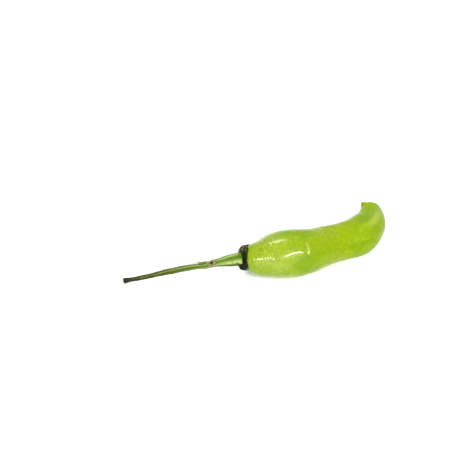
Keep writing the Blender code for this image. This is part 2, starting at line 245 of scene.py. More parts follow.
# A stripe of the stem beside the calyx is painted pale as a highlight.
SHEEN_BAND_SIDE = 32.0               # a pale band beside the calyx
SHEEN_BAND_SPREAD = 17.0
RIBS = 5
RIB_PHASE = -2.44
RIB_TWIST = 0.9                # radians that the ribs turn along the stem
RIB_DEPTH = 0.028              # shares of the stem's radius: along the whole stem,
RIB_DEPTH_AT_FOOT = 0.075      # more at its foot, which fades over this share,
RIB_FADE = 0.30
RIB_EDGE = 0.016               # and small ridges on each rib
FLARE = 0.28 * MM              # where the stem spreads onto the calyx
FLARE_FADE = 0.012
WAIST = 0.34 * MM              # thin stretch past the knot, its share and its spread
WAIST_AT = 0.34
WAIST_SPREAD = 0.075
CUT_SWELL = 0.10 * MM          # swelling before the cut, its share and its spread
CUT_AT = 0.985
CUT_SPREAD = 0.014
CUT_DISH = 0.45 * MM           # how far the middle of the cut's face stands out
# Outside of the calyx: share of the way from its lip to the stem, then 0 for the brim's radius
# and 1 for the stem's where it is thin and where it is lobed, and depth as a share of its height.
CALYX_PROFILE = ((0.00, 0.00, 0.00, 0.00), (0.12, 0.02, 0.00, 0.10), (0.26, 0.17, 0.02, 0.27),
                 (0.38, 0.50, 0.05, 0.46), (0.52, 0.80, 0.16, 0.64), (0.68, 0.91, 0.40, 0.84),
                 (0.84, 0.96, 0.74, 0.97), (1.00, 1.00, 1.00, 1.10))

# Shares of STEM_RUN and of STEM_SWAY, then the drop as a share of the whole drop.
STEM_LINE = (
    (0.00, 0.00, 0.00), (0.075, 0.06, 0.06), (0.145, 0.14, 0.12), (0.225, 0.22, 0.20),
    (0.28, 0.36, 0.26), (0.40, 0.385, 0.38), (0.60, 0.54, 0.60), (0.87, 0.86, 0.89),
    (1.00, 1.00, 1.00),
)
# Share of the run, then 1 for the base's radius and 0 for the thin part's.
STEM_GIRTH = (
    (0.00, 1.00), (0.075, 0.93), (0.145, 0.52), (0.206, 0.16), (0.28, 0.06), (0.40, 0.05),
    (0.60, -0.03), (0.87, -0.26), (0.96, -0.28), (1.00, -0.12),
)
# The cut's face: shares of the end's radius, then how far each ring stands out.
CUT_FACE = ((0.98, 0.16 * MM), (0.92, 0.36 * MM), (0.82, 0.54 * MM), (0.68, 0.66 * MM),
            (0.52, 0.66 * MM), (0.34, 0.56 * MM), (0.16, 0.48 * MM))

# ---------------------------------------------------------------- how fine each surface is
POD_ROWS, POD_AROUND = 330, 240
DOME_ROWS, TIP_ROWS = 8, 30
CALYX_AROUND = 220
STEM_ROWS, STEM_AROUND = 420, 96
SHOOT_ROWS, SHOOT_AROUND = 90, 40

# ---------------------------------------------------------------- finish: colours, linear
# POD_DEEP also paints shade in hollows and valleys, POD_LIGHT also paints highlight on raised
# parts.
POD_DEEP = (0.142, 0.248, 0.001)
POD_GREEN = (0.194, 0.288, 0.001)
POD_LIGHT = (0.256, 0.350, 0.002)
# Whitish green for painted highlights, painted reflections and the pale specks.
POD_PALE_AND_SHEEN = (0.330, 0.400, 0.070)
STEM_FRESH = (0.068, 0.140, 0.006)
STEM_DULL = (0.062, 0.096, 0.008)
# Painted shade for the stem's lower flank.
STEM_PAINTED_SHADE = (0.010, 0.018, 0.002)
# Pale green of the fibres and the shoot's ridges, also the painted highlight on the ribs and on the
# stripe beside the calyx.
STEM_PALE_AND_SHEEN = (0.42, 0.50, 0.17)
BARK_BROWN = (0.022, 0.015, 0.005)
SCAR_PINK = (0.28, 0.19, 0.11)
SCAR_OLIVE = (0.13, 0.12, 0.045)
DRY_GREY = (0.52, 0.50, 0.38)
NUB_BROWN = (0.22, 0.17, 0.05)
# The calyx's green and its dark are nearly black: painted shade over the cap's own dark green.
CALYX_GREEN = (0.012, 0.026, 0.004)
CALYX_PAINTED_SHADE = (0.0025, 0.004, 0.001)
CALYX_BROWN = (0.060, 0.042, 0.012)
CALYX_FLECK = (0.26, 0.24, 0.10)

# ---------------------------------------------------------------- camera and light
CAMERA_ELEVATION = 50.0
CAMERA_DISTANCE = 0.62
VIEW_WIDTH = 199.3 * MM        # what the picture spans at the target
LOOK_ASIDE = -8.8 * MM         # target's place seen from the calyx seat, along X
LOOK_UP = 14.1 * MM            # and up the picture
SENSOR = 36.0
SKY_STRENGTH = 0.56
# Softboxes: azimuth (0 on the near side) and elevation, distance, width and height, and watts.
LAMPS = {
    "top_box": (0.0, 84.0, 0.90, (1.10, 0.80), 0.5),
    "key_box": (25.0, 50.0, 0.80, (0.44, 0.13), 6.0),
    "back_box": (205.0, 52.0, 0.90, (0.40, 0.28), 4.6),
    "left_box": (-48.0, 28.0, 0.90, (0.22, 0.10), 2.0),
}
FLOOR_SIDE = 3.0               # half the side of the floor
FLOOR_GAP = 0.02 * MM


# ================================================================ shared shapes
def smooth(table, at):
    """Cubic curve through the table's rows, each slope taken from the neighbouring rows."""
    table = np.asarray(table, float)
    knots = table[:, 0]
    values = table[:, 1:]
    slopes = np.gradient(values, knots, axis=0)
    left = np.clip(np.searchsorted(knots, at, side="right") - 1, 0, len(knots) - 2)
    width = (knots[left + 1] - knots[left])[:, None]
    share = ((at - knots[left])[:, None]) / width
    rest = 1.0 - share
    return ((1.0 + 2.0 * share) * rest**2 * values[left]
            + share * rest**2 * width * slopes[left]
            + share**2 * (3.0 - 2.0 * share) * values[left + 1]
            - share**2 * rest * width * slopes[left + 1])


def lattice_noise(points, cell, seed):
    """Soft noise from -1 to 1: random values on a wrapping lattice, eased between its corners."""
    table = np.random.default_rng(seed).uniform(-1.0, 1.0, (32, 32, 32))
    scaled = points / np.asarray(cell, float)
    low = np.floor(scaled).astype(int)
    ease = scaled - low
    ease = ease * ease * ease * (ease * (6.0 * ease - 15.0) + 10.0)
    total = np.zeros(points.shape[:-1])
    for corner in np.ndindex(2, 2, 2):
        corner = np.array(corner)
        weight = np.prod(np.where(corner == 1, ease, 1.0 - ease), axis=-1)
        spot = (low + corner) % 32
        total += weight * table[spot[..., 0], spot[..., 1], spot[..., 2]]
    return total


def frames_along(line):
    """Tangent, level sideways direction and upward direction at each point of a line."""
    tangent = np.gradient(line, axis=0)
    tangent /= np.linalg.norm(tangent, axis=1)[:, None]
    sideways = np.stack([-tangent[:, 1], tangent[:, 0], np.zeros(len(line))], axis=1)
    sideways /= np.linalg.norm(sideways, axis=1)[:, None]
    return tangent, sideways, np.cross(tangent, sideways)


def rings_along(centres, sideways, upward, radii, angles):
    """Sections carried along a line: angle 0 lies sideways, a quarter turn is up."""
    across = np.cos(angles)[..., None] * sideways[:, None, :]
    up = np.sin(angles)[..., None] * upward[:, None, :]
    return centres[:, None, :] + radii[:, :, None] * (across + up)


def outward(grid):
    """Unit normals of a grid that closes round: step round the section, crossed with step along."""
    along = np.gradient(grid, axis=0)
    round_step = np.roll(grid, -1, axis=1) - np.roll(grid, 1, axis=1)
    normal = np.cross(round_step, along)
    return normal / np.maximum(np.linalg.norm(normal, axis=2, keepdims=True), 1e-12)


def angle_from(angles, degrees):
    """Angle to a direction round the section, from -pi to pi."""
    return np.angle(np.exp(1j * (angles - np.radians(degrees))))


def full_turn(count):
    """Even angles round a section, the first at 0."""
    return np.arange(count) * TURN / count


def bell_round(angles, degrees, spread):
    """A bell round the section: exp of minus the square of angle over spread, both in degrees."""
    return np.exp(-(angle_from(angles, degrees) / math.radians(spread))**2)


def onto_frame(points):
    """Carries points from the seat's plan onto the frame, so that the pod's boxes agree."""
    placed = np.array(points, float) * SCALE + SHIFT
    placed[..., 2] = np.maximum(placed[..., 2], cad_box[0][2])
    return placed


def make_piece(name, surface, material):
    """A closed piece from a surface: its grid, its two poles and its marks, one a grid point.

    Neighbouring rings are joined by quads and each pole to its ring by a fan. The UV map holds
    the share of the rows along the piece, and the share of a turn round it.
    """
    grid, poles, marks = surface
    rows, around = grid.shape[:2]
    points = np.concatenate([onto_frame(grid).reshape(-1, 3), onto_frame(poles)])
    body = np.arange(rows * around).reshape(rows, around)
    beside = np.roll(body, -1, axis=1)
    first, last = rows * around, rows * around + 1
    quads = np.stack([body[:-1], beside[:-1], beside[1:], body[1:]], axis=-1).reshape(-1, 4)
    start_fan = np.stack([np.full(around, first), beside[0], body[0]], axis=-1)
    end_fan = np.stack([np.full(around, last), body[-1], beside[-1]], axis=-1)
    fans = np.concatenate([start_fan, end_fan])
    edges = points[quads] - points[quads[:, :1]]
    volume = np.sum(points[quads[:, 0]] * np.cross(edges[:, 1], edges[:, 3]))
    assert volume > 0.0, name + " is inside out"

    step_along, step_round = 1.0 / (rows - 1), 1.0 / around
    share = np.arange(rows - 1)[:, None, None] * step_along + step_along * np.array([0, 0, 1, 1])
    turn = np.arange(around)[:, None] * step_round
    quad_uv = np.broadcast_arrays(share, turn + step_round * np.array([0, 1, 1, 0]))
    start_uv = np.broadcast_arrays(0.0, turn + step_round * np.array([0.5, 1, 0]))
    end_uv = np.broadcast_arrays(1.0, turn + step_round * np.array([0.5, 0, 1]))
    uv = np.concatenate([np.stack(part, axis=-1).reshape(-1, 2)
                         for part in (quad_uv, start_uv, end_uv)])

    mesh = bpy.data.meshes.new(name)
    mesh.vertices.add(len(points))
    mesh.vertices.foreach_set("co", points.ravel())
    corners = np.concatenate([quads.ravel(), fans.ravel()])
    starts = np.concatenate([np.arange(len(quads)) * 4,
                             len(quads) * 4 + np.arange(len(fans)) * 3])
    mesh.loops.add(len(corners))
    mesh.loops.foreach_set("vertex_index", corners.astype(np.int32))
    mesh.polygons.add(len(starts))
    mesh.polygons.foreach_set("loop_start", starts.astype(np.int32))
    mesh.update(calc_edges=True)
    mesh.uv_layers.new(name="along_round").data.foreach_set("uv", uv.ravel())
    for label, values in marks.items():
        ends = (values[0].mean(), values[-1].mean())
        mark = mesh.attributes.new(label, "FLOAT", "POINT")
        mark.data.foreach_set("value", np.concatenate([values.ravel(), ends]))
    mesh.shade_smooth()
    mesh.validate()
    piece = bpy.data.objects.new(name, mesh)
    bpy.context.scene.collection.objects.link(piece)
    mesh.materials.append(material)
    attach(piece, "root")
    return piece


# ================================================================ the pod's surface
def plan_line(share):
    """Middle line seen from above at equal distances, and its length."""
    count = len(PLAN_LINE)
    table = np.column_stack([np.linspace(0.0, 1.0, count), np.array(PLAN_LINE)])
    fine = smooth(table, np.linspace(0.0, 1.0, 1200)) * (BODY_RUN, HOOK_RUN)
    steps = np.linalg.norm(np.diff(fine, axis=0), axis=1)
    travelled = np.concatenate([[0.0], np.cumsum(steps)])
    wanted = share * travelled[-1]
    flat = np.stack([np.interp(wanted, travelled, fine[:, axis]) for axis in (0, 1)], axis=1)
    return flat, travelled[-1]


POD_LENGTH = plan_line(np.zeros(1))[1]


def bells(table, share, angles):
    """Sum of bells along and round the pod, slanted as they go along, each with its height."""
    total = np.zeros((len(share), len(angles)))
    for place, degrees, half_length, half_angle, climb, height in table:
        along = (share[:, None] - place) * POD_LENGTH / MM
        turned = angle_from(angles, degrees + climb * along) / math.radians(half_angle)
        total += height * np.exp(-(along / half_length)**2 - turned**2)
    return total


def patches(table, share, angles):
    """Sum of bells that have no slant."""
    return bells([(*row[:4], 0.0, row[4]) for row in table], share, angles)


def plain_radius(share):
    """Girth curve: the neck's radius at 0 on the curve, the belly's at 1."""
    neck, belly = 0.5 * NECK_WIDTH, 0.5 * POD_WIDTH
    return neck + (belly - neck) * smooth(GIRTH, share)


def pod_radius(share, angles):
    """Girth curve, times three slow lobes and an oval, less the hollows.

    Radius = girth (1 + lobes cos 3(t - a) - oval cos 2(t - b)) - the sum of the hollows' bells,
    where t is the angle less the twist so far. The lobes grow from nothing at the neck.
    """
    girth = plain_radius(share)
    grown = np.clip(share / LOBES_GROWN, 0.0, 1.0)[:, None]
    turn = angles[None, :] - POD_TWIST * share[:, None]
    (lobes, lobe_peak), (oval, oval_waist) = POD_LOBES, POD_OVAL
    uneven = (lobes * np.cos(3.0 * (turn - math.radians(lobe_peak)))
              - oval * np.cos(2.0 * (turn - math.radians(oval_waist))))
    return girth * (1.0 + grown * uneven) - MM * patches(HOLLOWS, share, angles)


def pod_line(share):
    """Middle line in space: each section stands its lower radius above its clear height."""
    flat, _ = plan_line(share)
    lift = SEAT_LIFT * smooth(LIFT, np.minimum(share, TIP_LIFT_START))[:, 0]
    rise = np.clip((share - TIP_LIFT_START) / (1.0 - TIP_LIFT_START), 0.0, 1.0)
    downward = np.array([0.75 * TURN])
    below = pod_radius(share, downward)[:, 0]
    return np.column_stack([flat, below + lift + TIP_LIFT * rise**2 - BELLY_FLAT])


def seat_frame():
    """Centre of the calyx seat and its three directions."""
    line = pod_line(np.linspace(0.0, 0.06, 7))
    tangent, sideways, upward = frames_along(line)
    return line[0], tangent[0], sideways[0], upward[0]


SEAT, AXIS, SIDE, UP = seat_frame()


def tip_closing(count, radius):
    """How far round the blunt tip each ring is, and its share of the radius, at even distances.

    The tip is a superellipse: at an angle t its height is sin t and its radius cos t, both to
    the power 2 over the bluntness.
    """
    turn = np.linspace(0.0, 0.5 * math.pi, 800)
    closed = np.sin(turn) ** (2.0 / TIP_BLUNTNESS)
    shrink = np.cos(turn) ** (2.0 / TIP_BLUNTNESS)
    steps = np.hypot(np.diff(closed) * TIP_CAP, np.diff(shrink) * radius)
    travelled = np.concatenate([[0.0], np.cumsum(steps)])
    wanted = np.linspace(0.0, travelled[-1], count + 2)[1:-1]
    return np.interp(wanted, travelled, closed), np.interp(wanted, travelled, shrink)


def pod_rings(rows, around):
    """Rings of the dome under the calyx, and of the body with its blunt tip, still plain.

    The dome's rings follow a quarter of an ellipse. The body carries the sections along the
    middle line, and towards the tip shrinks them and leans the line to the side by a cube.
    """
    angles = full_turn(around)
    quarter = np.linspace(0.1, 1.0, DOME_ROWS + 1)[:-1, None] * 0.25 * TURN
    dome_radius = 0.5 * NECK_WIDTH * np.sin(quarter) + 0.0 * angles
    dome_centre = SEAT - NECK_DOME * np.cos(quarter) * AXIS
    dome = rings_along(dome_centre, np.tile(SIDE, (DOME_ROWS, 1)), np.tile(UP, (DOME_ROWS, 1)),
                       dome_radius, angles)

    body_end = 1.0 - TIP_CAP / POD_LENGTH
    before_tip = pod_radius(np.array([body_end]), angles).mean()
    closed, shrink = tip_closing(TIP_ROWS, before_tip)
    body_rows = rows - DOME_ROWS - TIP_ROWS
    share = np.concatenate([np.linspace(0.0, body_end, body_rows),
                            body_end + (1.0 - body_end) * closed])
    closed = np.concatenate([np.zeros(body_rows), closed])
    shrink = np.concatenate([np.ones(body_rows), shrink])
    line = pod_line(np.append(share, 1.0))
    _, side, up = frames_along(line)
    line = line + TIP_LEAN * np.append(closed, 1.0)[:, None]**3 * side
    body = rings_along(line[:-1], side[:-1], up[:-1],
                       pod_radius(share, angles) * shrink[:, None], angles)
    apex = line[-1] + NUB_ASIDE * side[-1] + NUB_ABOVE * up[-1]
    return dome, body, line, share, shrink[:, None], apex


def pod_grid(rows, around):
    """The pod: its rings, moved along their own outward direction by what the skin does.

    Skin = folds + three sizes of waviness + ripples + stipple, which fade at neck and tip, and
    pleats at the neck, puckers round the tip and the nub. Also gives the poles, the marks that
    the finish reads, and the box of the plain rings.
    """
    angles = full_turn(around)
    dome, body, line, share, shrink, apex = pod_rings(rows, around)
    every = np.zeros((len(share), around))
    along = share[:, None] + every
    distance = along * POD_LENGTH
    to_tip = np.linalg.norm(body - line[-1], axis=2)
    to_nub = np.linalg.norm(body - apex, axis=2)
    off_neck = np.clip(distance / NECK_CALM, 0.0, 1.0)
    off_tip = np.clip(to_tip / TIP_CALM, 0.0, 1.0)
    seen_radius = SEEN_RADIUS * shrink
    seen = np.stack([distance, seen_radius * np.cos(angles), seen_radius * np.sin(angles)],
                    axis=-1)

    def noise_on_skin(size, seed):
        """Noise whose lumps have a size along the pod and a size round it."""
        lengthwise, roundwise = size
        return lattice_noise(seen, (lengthwise, roundwise, roundwise), seed)

    swells = SWELL_HEIGHT * noise_on_skin(SWELL_SIZE, 11)
    dimples = DIMPLE_HEIGHT * noise_on_skin(DIMPLE_SIZE, 12)
    crinkled = np.exp(-(along / CRINKLED_SHARE)**2)
    wrinkles = (WRINKLE_HEIGHT + NECK_WRINKLES * crinkled) * noise_on_skin(WRINKLE_SIZE, 13)
    wobble = noise_on_skin(WOBBLE_SIZE, 14)
    waxy = patches(WAXY, share, angles)
    stippled = STIPPLE_HEIGHT + WAXY_STIPPLE * np.clip(waxy, 0.0, 1.0)
    stipple = stippled * noise_on_skin(STIPPLE_SIZE, 15)
    rippled = MM * patches(RIPPLED, share, angles)
    ripples = rippled * np.cos(TURN * distance / RIPPLE_STEP + RIPPLE_WOBBLE * wobble)
    pleats = PLEAT_HEIGHT * np.cos(PLEATS * angles + wobble) * np.exp(-distance / PLEAT_FADE)
    puckers = (PUCKER_HEIGHT * np.cos(PUCKERS * angles + 1.5 * wobble)
               * np.exp(-((to_tip - PUCKER_RING) / PUCKER_SPREAD)**2))
    folds = off_tip * MM * bells(FOLDS, share, angles)
    nub = NUB_HEIGHT * np.exp(-(to_nub / NUB_SPREAD)**NUB_BLUNTNESS)
    fine = wrinkles + ripples + stipple
    rise = off_neck * (folds + off_tip * (swells + dimples + fine) + pleats) + puckers + nub

    under_calyx = SEAT - NECK_DOME * AXIS
    plain = np.concatenate([body.reshape(-1, 3), [under_calyx]])
    box = plain.min(axis=0), plain.max(axis=0)
    body = body + rise[..., None] * outward(body)
    tip_way = line[-1] - line[-2]
    tip_way = tip_way / np.linalg.norm(tip_way)
    poles = (under_calyx, body[-1].mean(axis=0) + 0.03 * MM * tip_way)

    def with_dome(values, on_dome):
        """A mark's values on the body, after one value on the hidden dome."""
        return np.concatenate([np.full(dome.shape[:2], on_dome), values])

    sunk = np.clip(5.0 * (1.0 - pod_radius(share, angles) / plain_radius(share)), 0.0, 1.0)
    # Painted highlights, painted reflections and painted shade in set patches, with some of the
    # skin's own tone.
    painted_light_and_tones = patches(PAINTED_LIGHT_AND_TONES, share, angles)
    wax = np.clip(waxy + NECK_WAX * np.exp(-(along / NECK_WAX_SHARE)**4), 0.0, 1.0)
    marks = {
        # Marks that the finish turns into painted light and shade: raised parts lighter, hollows
        # darker, the patches and ripple crests of the tone mark, and in part the specks.
        "painted_relief_light": with_dome(0.5 + (folds + swells + dimples) / MM, 0.5),
        "painted_hollow_shade": with_dome(sunk, 0.0),
        "tone": with_dome(0.5 + 0.5 * painted_light_and_tones + RIPPLE_CREST_HIGHLIGHT * ripples / MM, 0.5),
        "specks": with_dome(patches(SPECKS_AND_PAINTED_GLINTS, share, angles), 0.0),
        "waxy": with_dome(wax, 0.0),
        "crinkled": with_dome(crinkled, 1.0),
        "along": with_dome(along, 0.0),
        "neck": with_dome(np.exp(-(distance / NECK_RIM)**2), 1.0),
        "tip": with_dome(np.exp(-(to_nub / NUB_STAIN)**2), 0.0),
    }
    return np.concatenate([dome, body]), poles, marks, box


# ================================================================ the calyx's surface
def teeth_round(angles):
    """How far the margin reaches and curls at each angle: five uneven teeth, and the knob."""
    uneven = np.random.default_rng(5).uniform(-1.0, 1.0, (3, TEETH))
    centres = 24.0 + 360.0 / TEETH * np.arange(TEETH) + 9.0 * uneven[0]
    shape = bell_round(angles[:, None], centres, TOOTH_SPREAD)
    knob = bell_round(angles, KNOB_SIDE, KNOB_SPREAD)
    tooth = shape @ (1.0 + 0.35 * uneven[1]) + 0.3 * knob
    curl = shape @ (0.5 + 0.4 * uneven[2]) + 1.6 * knob
    return tooth, curl, knob


def calyx_grid(around):
    """From the stem's foot down the fluted outside, over the toothed margin's lip, up the inside.

    The section is worked out from the inside out, as radius and height at each angle. The inside
    is a quarter of an ellipse that faces the pod's dome, then a straight wall along the pod's
    skin. The lip is a half circle. Outside, radius and height follow one smooth profile, and
    both take the teeth, the flutes, the lobes and the knob. The rows are then turned round, so
    that the piece starts at the stem.
    """
    angles = full_turn(around)
    tooth, curl, knob = teeth_round(angles)
    stem_side = math.pi - angles
    flute = np.cos(RIBS * stem_side + RIB_PHASE)
    ragged = lattice_noise(np.stack([angles * 5.0, 0.0 * angles, 0.0 * angles], -1), 0.9, 33)
    reach = (CALYX_GRIP + TOOTH_HEIGHT * tooth + MARGIN_RAGGED * ragged
             - SHORT_BY * bell_round(angles, *SHORT_SIDE))
    skin = plain_radius(reach / POD_LENGTH)[:, 0]
    held = skin - CALYX_BITE
    foot = stem_radius(np.zeros(1), stem_side)[0] * 1.02

    quarter = np.linspace(0.1, 1.0, 7)[:, None]
    inside_radius = quarter * CALYX_INSIDE + 0.0 * skin
    inside_height = -NECK_DOME * np.sqrt(1.0 - quarter**2) + 0.05 * MM + 0.0 * skin
    climb = np.linspace(0.15, 0.95, 6)[:, None]
    wall_radius = CALYX_INSIDE * (1.0 - climb) + held * climb
    wall_height = reach * climb

    swing = np.linspace(-0.25, 0.25, 11)[:, None] * TURN
    lip = CALYX_LIP * (0.8 + 0.5 * curl)
    lip_radius = held + lip * (1.0 + np.sin(swing)) * (1.0 + 0.35 * curl)
    lip_height = reach + lip * np.cos(swing)

    way = np.linspace(0.0, 1.0, 56)[1:]
    thin, thick, sink = smooth(CALYX_PROFILE, way).T[:, :, None]
    way = way[:, None]
    midway = np.sin(math.pi * way)
    lobe = sum(bell_round(angles, place, wide) for place, wide in LOBE_SIDES)
    lobe = np.clip(lobe + 0.18 * ragged, 0.0, 1.0)
    narrow = thin + (thick - thin) * lobe
    brim = lip_radius[-1]
    roll = knob * np.exp(-((way - 0.22) / 0.20)**2)
    out_radius = brim + (foot - brim) * narrow + FLUTE_DEPTH * flute * midway + KNOB_ROLL * roll
    out_height = reach * (1.0 - way)**2 - CALYX_HEIGHT * sink - LOBE_DROOP * lobe * midway

    close = np.array([[0.7], [0.35]])
    radius = np.concatenate([inside_radius, wall_radius, lip_radius, out_radius, foot * close])
    height = np.concatenate([inside_height, wall_height, lip_height, out_height,
                             out_height[-1] + 0.0 * close])
    shown = np.ones((len(radius), 1))
    shown[:len(inside_radius) + len(wall_radius)] = 0.0
    shown[-len(close):] = 0.0
    radius, height, shown = radius[::-1], height[::-1], shown[::-1]
    across = np.cos(angles)[:, None] * SIDE + np.sin(angles)[:, None] * UP
    grid = SEAT + height[..., None] * AXIS + radius[..., None] * across

    texture = lattice_noise(grid, 0.9 * MM, 31) * 0.05 * MM
    texture += lattice_noise(grid, 0.35 * MM, 32) * 0.02 * MM
    grid = grid + (shown * texture)[..., None] * outward(grid)
    poles = (SEAT + height[0, 0] * AXIS, SEAT + height[-1, 0] * AXIS)
    every = np.zeros(height.shape)
    marks = {
        "margin": np.exp(-((height - reach) / (0.55 * MM))**2) * shown,
        # The stripe beside the calyx, painted paler as a highlight.
        "painted_sheen_band": bell_round(stem_side, SHEEN_BAND_SIDE, SHEEN_BAND_SPREAD) + every,
        "green": np.exp(-((radius - foot) / FOOT_GREEN)**2) * (1.0 - 0.85 * lobe),
        # The flutes, painted paler as a highlight.
        "flute": 0.5 + 0.5 * flute + every,
        "knob": knob * (height < 0.8 * MM),
    }
    return grid, poles, marks


# ================================================================ the stem's surface
def stem_line(share):
    """Middle line: it leaves the calyx along its axis and sinks to its own radius."""
    base = SEAT - (CALYX_HEIGHT - 0.1 * MM) * AXIS
    sway_and_drop = smooth(STEM_LINE, share) * (STEM_SWAY, base[2] - 0.5 * CUT_WIDTH)
    run = (STEM_RUN + 0.4 * MM) * share
    return base - np.column_stack([run, sway_and_drop])


def rib_turns(share, angles):
    """Angle of the ribs' wave: one turn for each rib, twisting slowly along the stem."""
    return RIBS * (angles[None, :] + RIB_TWIST * share[:, None]) + RIB_PHASE


def stem_radius(share, angles):
    """Girth curve times ribs that fade towards the thin part, a flare, the knot, less a waist.

    The ribs are a cosine of the rib turns with a small one of three times as many. The flare
    fades along the stem, and the knot and the waist are bells along it, the knot on one side.
    """
    thin, base = 0.5 * STEM_WIDTH, 0.5 * STEM_BASE_WIDTH
    girth = thin + (base - thin) * smooth(STEM_GIRTH, share)
    turned = rib_turns(share, angles)
    ribs = (RIB_DEPTH_AT_FOOT * np.exp(-share / RIB_FADE)[:, None] + RIB_DEPTH) * np.cos(turned)
    ribs = ribs + RIB_EDGE * np.cos(3.0 * turned + 1.0)
    flare = FLARE * np.exp(-share[:, None] / FLARE_FADE) * (0.6 + 0.4 * np.cos(turned))
    knot = KNOT_BULGE * np.exp(-((share - KNOT_AT) / KNOT_SPREAD)**2)[:, None]
    scar_side = 0.5 + 0.5 * np.cos(angle_from(angles[None, :], SCAR_SIDE))
    waist = WAIST * np.exp(-((share[:, None] - WAIST_AT) / WAIST_SPREAD)**2)
    return girth * (1.0 + ribs) + flare + knot * scar_side - waist


def stem_grid(rows, around):
    """Ribbed stalk with fine fibres, a pitted scar on its knot and a swollen, dished cut end.

    The sections of the girth curve are carried along the middle line. The scar adds a raised
    ring and a pit, both bells of the distance on the unrolled skin. Fibres, lumps and bark are
    noise along the outward direction, and the cut's face is a few shrinking rings.
    """
    angles = full_turn(around)
    share = np.linspace(0.0, 1.0, rows)
    line = stem_line(share)
    _, side, up = frames_along(line)
    side[0], up[0] = -SIDE, UP
    radius = stem_radius(share, angles)
    swollen = CUT_SWELL * np.exp(-((share - CUT_AT) / CUT_SPREAD)**2)[:, None]
    along = (share[:, None] - KNOT_AT) * STEM_RUN
    turned = angle_from(angles[None, :], SCAR_SIDE) * SCAR_RADIUS
    ring = np.hypot(along / SCAR_LENGTH, turned / SCAR_WIDTH)
    into = np.hypot((along - 0.2 * MM) / (0.8 * MM), (turned - 0.3 * MM) / (0.6 * MM))
    scar = SCAR_RIM * np.exp(-((ring - 1.0) / 0.28)**2) - SCAR_PIT * np.exp(-into**2)
    grid = rings_along(line, side, up, radius + swollen + scar, angles)

    every = np.zeros(radius.shape)
    seen = np.stack([share[:, None] * STEM_RUN + every, np.cos(angles) * 1.6 * MM + every,
                     np.sin(angles) * 1.6 * MM + every], axis=-1)
    fibres = 0.035 * MM * lattice_noise(seen, (5.0 * MM, 0.42 * MM, 0.42 * MM), 41)
    lumps = 0.09 * MM * lattice_noise(seen, (3.2 * MM, 1.3 * MM, 1.3 * MM), 42)
    bark = 0.03 * MM * lattice_noise(seen, (0.6 * MM, 0.6 * MM, 0.6 * MM), 43)
    shrivel = np.clip((share - 0.55) / 0.45, 0.0, 1.0)[:, None]
    off_calyx = np.clip(share / 0.02, 0.0, 1.0)[:, None]
    rise = off_calyx * (fibres * (1.0 + shrivel) + lumps + bark * (0.4 + shrivel))
    grid = grid + rise[..., None] * outward(grid)

    end = line[-1]
    end_way = line[-1] - line[-2]
    end_way = end_way / np.linalg.norm(end_way)
    face_share, stands_out = np.array(CUT_FACE).T[:, :, None, None]
    face = end + (grid[-1] - end) * face_share + stands_out * end_way
    poles = (line[0], end + CUT_DISH * end_way)

    def with_face(values, on_face):
        """A mark's values along the stem, before one value on the cut's face."""
        return np.concatenate([values + every, np.full(face.shape[:2], on_face)])

    # Painted highlight: a stripe of the stem beside the calyx.
    painted_sheen_band = bell_round(angles, SHEEN_BAND_SIDE, SHEEN_BAND_SPREAD) * np.exp(-(share / 0.17)**4)[:, None]
    # Painted shade: one flank of the stem darker.
    painted_shade_flank = np.exp(-(angle_from(angles, -60.0) / math.radians(62.0))**4)
    marks = {
        "age": with_face(share[:, None], 1.0),
        "rib": with_face(0.5 + 0.5 * np.cos(rib_turns(share, angles)), 0.5),
        "scar": with_face(np.exp(-(ring / 1.25)**4), 0.0),
        "pit": with_face(np.exp(-(into / 1.3)**2), 0.0),
        "painted_sheen_band": with_face(painted_sheen_band, 0.0),
        "painted_shade_flank": with_face(painted_shade_flank * np.clip(share / 0.3, 0.3, 1.0)[:, None], 0.3),
        "cut": with_face(np.exp(-((1.0 - share[:, None]) * STEM_RUN / (2.2 * MM))**2), 1.0),
    }
    return np.concatenate([grid, face]), poles, marks


def shoot_grid(rows, around):
    """The dried side shoot: it leaves the knot, lies along the stem and ends in a grey tip.

    Its middle line is the stem's own, moved out past the stem's skin over its first third. Its
    radius has a waist, four ridges that twist, and a tip that closes like an ellipse.
    """
    angles = full_turn(around)
    share = np.linspace(0.0, 1.0, rows)
    stem_share = KNOT_AT + share * SHOOT_LENGTH / STEM_RUN
    line = stem_line(stem_share)
    _, side, up = frames_along(line)
    turn = math.radians(SHOOT_SIDE)
    skin = stem_radius(stem_share, np.array([turn]))[:, 0]
    leaving = np.clip(share / 0.35, 0.0, 1.0)
    distance = leaving * (skin + SHOOT_WIDTH * (0.34 + 0.22 * share**2))
    line = line + distance[:, None] * (math.cos(turn) * side + math.sin(turn) * up)
    _, side, up = frames_along(line)
    tip = np.sqrt(np.clip(1.0 - np.clip((share - 0.93) / 0.07, 0.0, 1.0)**2.2, 0.0, 1.0))
    waist = 0.5 * SHOOT_WIDTH * (1.10 - 0.34 * np.sin(math.pi * np.clip(share, 0.0, 0.9) / 0.9))
    ridges = 1.0 + 0.13 * np.cos(4.0 * angles[None, :] + 5.0 * share[:, None])
    grid = rings_along(line, side, up, (waist * tip)[:, None] * ridges, angles)[:-1]
    rough = 0.05 * MM * lattice_noise(grid, (0.7 * MM, 0.4 * MM, 0.4 * MM), 51)
    grid = grid + rough[..., None] * outward(grid)
    marks = {"age": np.broadcast_to(share[:-1, None], rough.shape),
             "ridge": np.broadcast_to(ridges[:-1] - 0.5, rough.shape)}
    return grid, (line[0], line[-1]), marks


